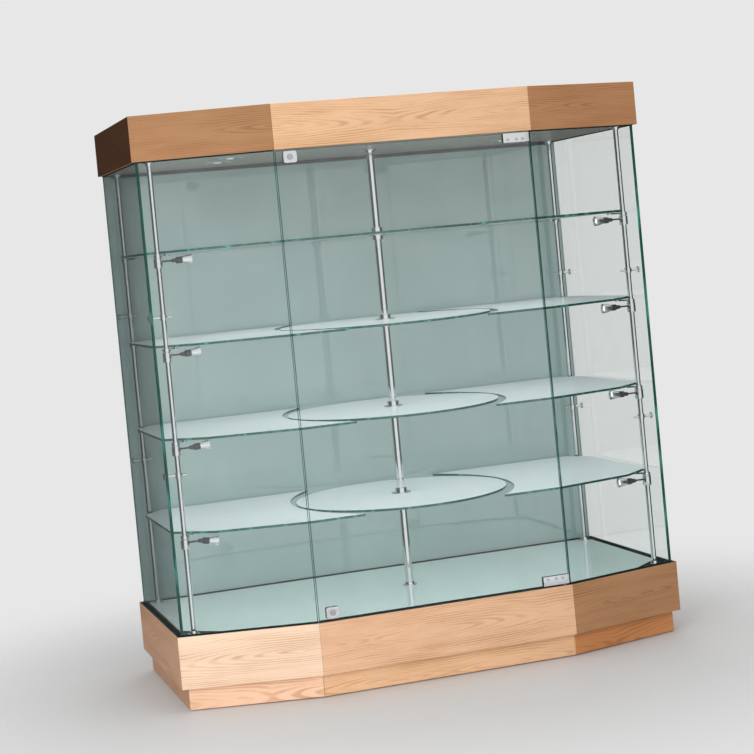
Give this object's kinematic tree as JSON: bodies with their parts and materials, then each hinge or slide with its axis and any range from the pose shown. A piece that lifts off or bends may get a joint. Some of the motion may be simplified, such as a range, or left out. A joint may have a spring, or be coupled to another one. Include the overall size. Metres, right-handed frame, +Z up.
{
  "type": "tower display case",
  "caption": "Tall museum display case with oak base and canopy, bowed glass front, hinged centre door, tiered glass shelves on chrome poles and pole spotlights.",
  "frame": {"origin": "on the floor, under the middle of the case", "axes": "+Z up; -Y is the bowed front with the door; +X to the right seen from the front"},
  "size_m": [1.822, 0.872, 1.98],
  "materials": {
    "foot_plastic": "matt black",
    "oak_plinth": "satin-lacquered oak veneer",
    "oak_veneer": "satin-lacquered oak veneer with cathedral grain",
    "board_core": "raw particle board",
    "black_board": "black-faced board",
    "deck_glass": "back-painted pale grey-green glass, glossy",
    "ceiling_laminate": "satin grey-brown laminate",
    "driver_plastic": "white moulded plastic",
    "polished_chrome": "polished chrome",
    "lamp_chrome": "polished chrome with a bright reflector",
    "lamp_lens": "frosted lamp lens",
    "clear_glass": "clear toughened glass with green polished edges",
    "shelf_glass": "clear toughened glass with green polished edges",
    "tinted_back": "grey-green tinted half-mirror",
    "rail_metal": "satin dark grey",
    "gasket_rubber": "black rubber channel",
    "machined_steel": "turned and ground"
  },
  "bodies": {
    "case": {"back_panel": "tinted_back", "back_panel_rail": "rail_metal", "base_back_board": "oak_veneer", "base_bottom_board": "board_core", "base_facet_boards": "oak_veneer", "base_floor_board": "black_board", "base_front_board": "oak_veneer", "base_side_boards": "oak_veneer", "canopy_back_board": "oak_veneer", "canopy_facet_boards": "oak_veneer", "canopy_front_board": "oak_veneer", "canopy_side_boards": "oak_veneer", "canopy_top_board": "board_core", "ceiling_board": "ceiling_laminate", "deck_panel": "deck_glass", "disc_hubs": "polished_chrome", "downlight_lamps": "lamp_lens", "downlight_trims": "polished_chrome", "glass_connectors": "polished_chrome", "glass_facet_left": "clear_glass", "glass_facet_right": "clear_glass", "glass_gaskets": "gasket_rubber", "glass_side_left": "clear_glass", "glass_side_right": "clear_glass", "hinge_pivots": "machined_steel", "led_driver": "driver_plastic", "levelling_feet": "foot_plastic", "plinth_frame": "oak_plinth", "pole_centre": "polished_chrome", "pole_flanges": "polished_chrome", "poles_back": "polished_chrome", "poles_front": "polished_chrome", "shelf_brackets": "polished_chrome", "shelf_disc_1": "shelf_glass", "shelf_disc_2": "shelf_glass", "shelf_disc_3": "shelf_glass", "shelf_disc_4": "shelf_glass", "shelf_left_1": "shelf_glass", "shelf_left_2": "shelf_glass", "shelf_left_3": "shelf_glass", "shelf_left_4": "shelf_glass", "shelf_right_1": "shelf_glass", "shelf_right_2": "shelf_glass", "shelf_right_3": "shelf_glass", "shelf_right_4": "shelf_glass", "spot_collars": "polished_chrome"},
    "door": {"door_glass": "clear_glass", "hinge_patches": "polished_chrome", "patch_screws": "machined_steel", "lock_bodies": "polished_chrome"},
    "spot_head_left_1": {"spot_head_left_1": "lamp_chrome"},
    "spot_head_left_2": {"spot_head_left_2": "lamp_chrome"},
    "spot_head_left_3": {"spot_head_left_3": "lamp_chrome"},
    "spot_head_left_4": {"spot_head_left_4": "lamp_chrome"},
    "spot_head_right_1": {"spot_head_right_1": "lamp_chrome"},
    "spot_head_right_2": {"spot_head_right_2": "lamp_chrome"},
    "spot_head_right_3": {"spot_head_right_3": "lamp_chrome"},
    "spot_head_right_4": {"spot_head_right_4": "lamp_chrome"},
    "lock_cylinder_lower": {"lock_cylinder_lower": "machined_steel"},
    "lock_cylinder_upper": {"lock_cylinder_upper": "machined_steel"}
  },
  "joints": [
    {"name": "door_swing", "type": "hinge", "parent": "case", "child": "door", "pos_m": [0.432, -0.417, 1], "axis": [0, 0, 1], "range_deg": [0, 100]},
    {"name": "lock_turn_lower", "type": "hinge", "parent": "door", "child": "lock_cylinder_lower", "pos_m": [-0.402, -0.417, 0.2795], "axis": [0, 1, 0], "range_deg": [0, 90]},
    {"name": "lock_turn_upper", "type": "hinge", "parent": "door", "child": "lock_cylinder_upper", "pos_m": [-0.402, -0.417, 1.8015], "axis": [0, -1, 0], "range_deg": [0, 90]},
    {"name": "spot_tilt_left_1", "type": "hinge", "parent": "case", "child": "spot_head_left_1", "pos_m": [-0.795, -0.267, 0.55533], "axis": [0, 1, 0], "range_deg": [-2, 55]},
    {"name": "spot_tilt_left_2", "type": "hinge", "parent": "case", "child": "spot_head_left_2", "pos_m": [-0.795, -0.267, 0.86883], "axis": [0, 1, 0], "range_deg": [-2, 55]},
    {"name": "spot_tilt_left_3", "type": "hinge", "parent": "case", "child": "spot_head_left_3", "pos_m": [-0.795, -0.267, 1.18233], "axis": [0, 1, 0], "range_deg": [-2, 55]},
    {"name": "spot_tilt_left_4", "type": "hinge", "parent": "case", "child": "spot_head_left_4", "pos_m": [-0.795, -0.267, 1.49583], "axis": [0, 1, 0], "range_deg": [-2, 55]},
    {"name": "spot_tilt_right_1", "type": "hinge", "parent": "case", "child": "spot_head_right_1", "pos_m": [0.795, -0.267, 0.55533], "axis": [0, -1, 0], "range_deg": [-2, 55]},
    {"name": "spot_tilt_right_2", "type": "hinge", "parent": "case", "child": "spot_head_right_2", "pos_m": [0.795, -0.267, 0.86883], "axis": [0, -1, 0], "range_deg": [-2, 55]},
    {"name": "spot_tilt_right_3", "type": "hinge", "parent": "case", "child": "spot_head_right_3", "pos_m": [0.795, -0.267, 1.18233], "axis": [0, -1, 0], "range_deg": [-2, 55]},
    {"name": "spot_tilt_right_4", "type": "hinge", "parent": "case", "child": "spot_head_right_4", "pos_m": [0.795, -0.267, 1.49583], "axis": [0, -1, 0], "range_deg": [-2, 55]}
  ]
}
